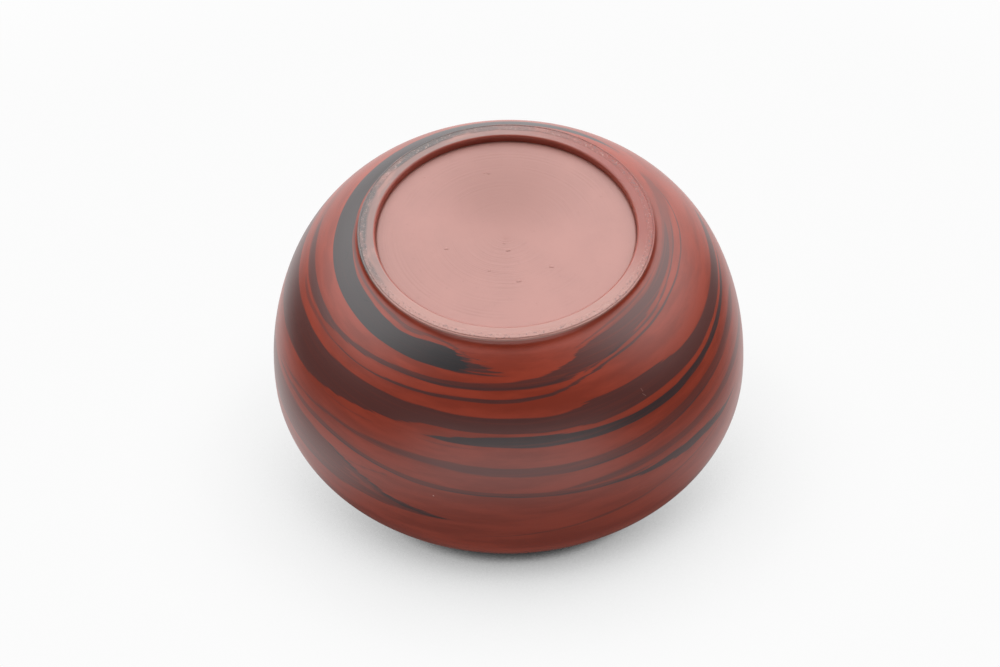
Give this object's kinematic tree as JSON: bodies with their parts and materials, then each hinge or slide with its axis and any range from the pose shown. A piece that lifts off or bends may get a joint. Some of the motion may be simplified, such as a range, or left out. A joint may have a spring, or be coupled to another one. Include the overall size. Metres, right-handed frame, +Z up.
{
  "type": "marbled clay bowl",
  "caption": "Round-bellied burnished bowl of marbled red, umber and charcoal clay, with a turned-in mouth and a low wide foot ring round a shallow recessed base.",
  "frame": {"origin": "centre of the foot ring's worn face, on the bowl's axis", "axes": "+Z up along the axis of the bowl, out of its mouth; -Y is the side whose marbling was modelled first"},
  "size_m": [0.14, 0.14, 0.0773],
  "materials": {
    "red_clay": "burnished satin",
    "base_clay": "smoothed matt",
    "umber_clay": "burnished satin",
    "charcoal_clay": "burnished satin"
  },
  "bodies": {
    "root": {"bowl_wall": "red_clay", "base_disc": "base_clay", "seam_charcoal_foot_band": "charcoal_clay", "seam_umber_foot_streak": "umber_clay", "seam_smoky_foot_haze": "umber_clay", "seam_dark_foot_line": "umber_clay", "seam_wide_umber_band": "umber_clay", "seam_charcoal_ribbon": "charcoal_clay", "seam_soft_umber_band": "umber_clay", "seam_long_charcoal_line": "charcoal_clay", "seam_umber_shoulder_patch": "umber_clay", "seam_umber_back_band": "umber_clay"}
  },
  "joints": []
}
